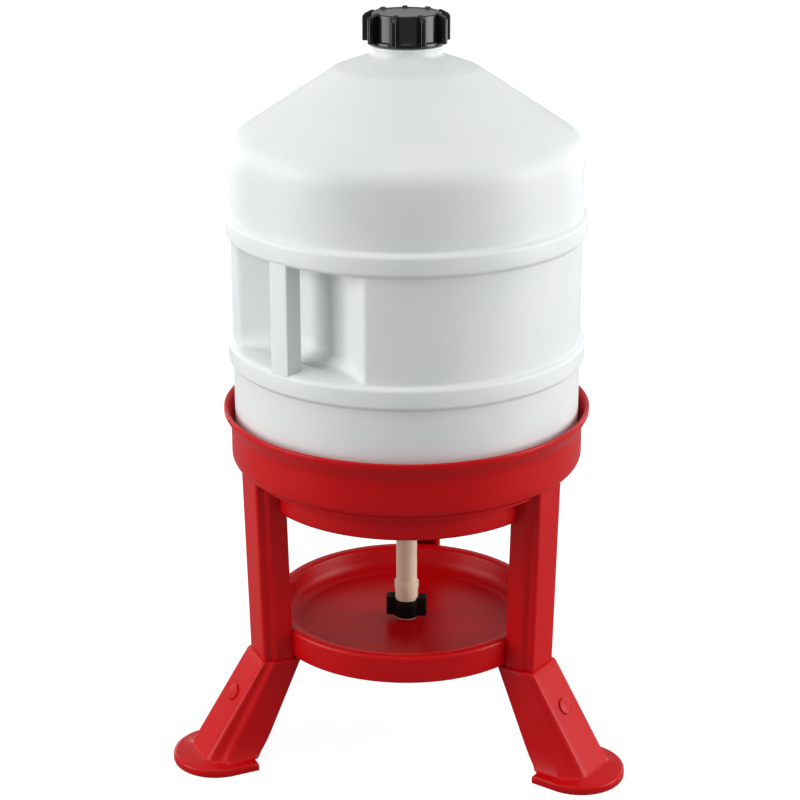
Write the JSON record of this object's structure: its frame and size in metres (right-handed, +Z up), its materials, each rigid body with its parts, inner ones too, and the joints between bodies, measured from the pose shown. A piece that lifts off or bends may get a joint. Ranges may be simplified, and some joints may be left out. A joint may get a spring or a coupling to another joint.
{
  "type": "poultry waterer fount",
  "caption": "Siphon poultry drinker: a white ribbed tank with a black screw cap stands in a red seat on splayed red legs, with a tube and tap down to a round red dish.",
  "frame": {"origin": "the point of the floor on the tank's vertical axis, midway between the three feet", "axes": "+Z up along the tank's axis; +Y towards the back leg, so the other two legs stand to the front left and the front right"},
  "size_m": [0.4546, 0.4381, 0.7411],
  "materials": {
    "stand_red": "semi-gloss",
    "tank_white": "satin",
    "fitting_white": "satin",
    "tube_white": "semi-gloss",
    "tap_black": "satin",
    "cap_black": "gloss",
    "seal_rubber": "matte",
    "screw_steel": "zinc plated"
  },
  "bodies": {
    "stand": {"tank_seat": "stand_red", "leg_back": "stand_red", "leg_left": "stand_red", "leg_right": "stand_red", "foot_back": "stand_red", "foot_left": "stand_red", "foot_right": "stand_red", "foot_pin_back": "stand_red", "foot_pin_left": "stand_red", "foot_pin_right": "stand_red", "leg_screws": "screw_steel", "water_dish": "stand_red", "dish_screws": "screw_steel"},
    "tank": {"tank_shell": "tank_white", "outlet_bush": "fitting_white", "outlet_gasket": "seal_rubber", "outlet_locknut": "fitting_white", "outlet_tube": "tube_white", "tap_collar": "fitting_white", "tap_o_rings": "seal_rubber", "tap_end_plug": "fitting_white"},
    "tap": {"tap_knob": "tap_black"},
    "cap_seal": {"cap_gasket": "seal_rubber"},
    "cap": {"fill_cap": "cap_black"}
  },
  "joints": [
    {"name": "tank_lift", "type": "slide", "parent": "stand", "child": "tank", "axis": [0, 0, 1], "range_m": [0, 0.25]},
    {"name": "tap_turn", "type": "hinge", "parent": "tank", "child": "tap", "pos_m": [0, 0, 0.125], "axis": [0, 0, 1], "range_deg": [0, 90]},
    {"name": "cap_rise", "type": "slide", "parent": "tank", "child": "cap_seal", "axis": [0, 0, 1], "range_m": [0, 0.0271]},
    {"name": "cap_turn", "type": "hinge", "parent": "cap_seal", "child": "cap", "pos_m": [0, 0, 0.72], "axis": [0, 0, 1], "range_deg": [0, 1620]}
  ],
  "couplings": [
    {"joint": "cap_rise", "follows": "cap_turn", "m_per_rad": 0.00095493}
  ]
}
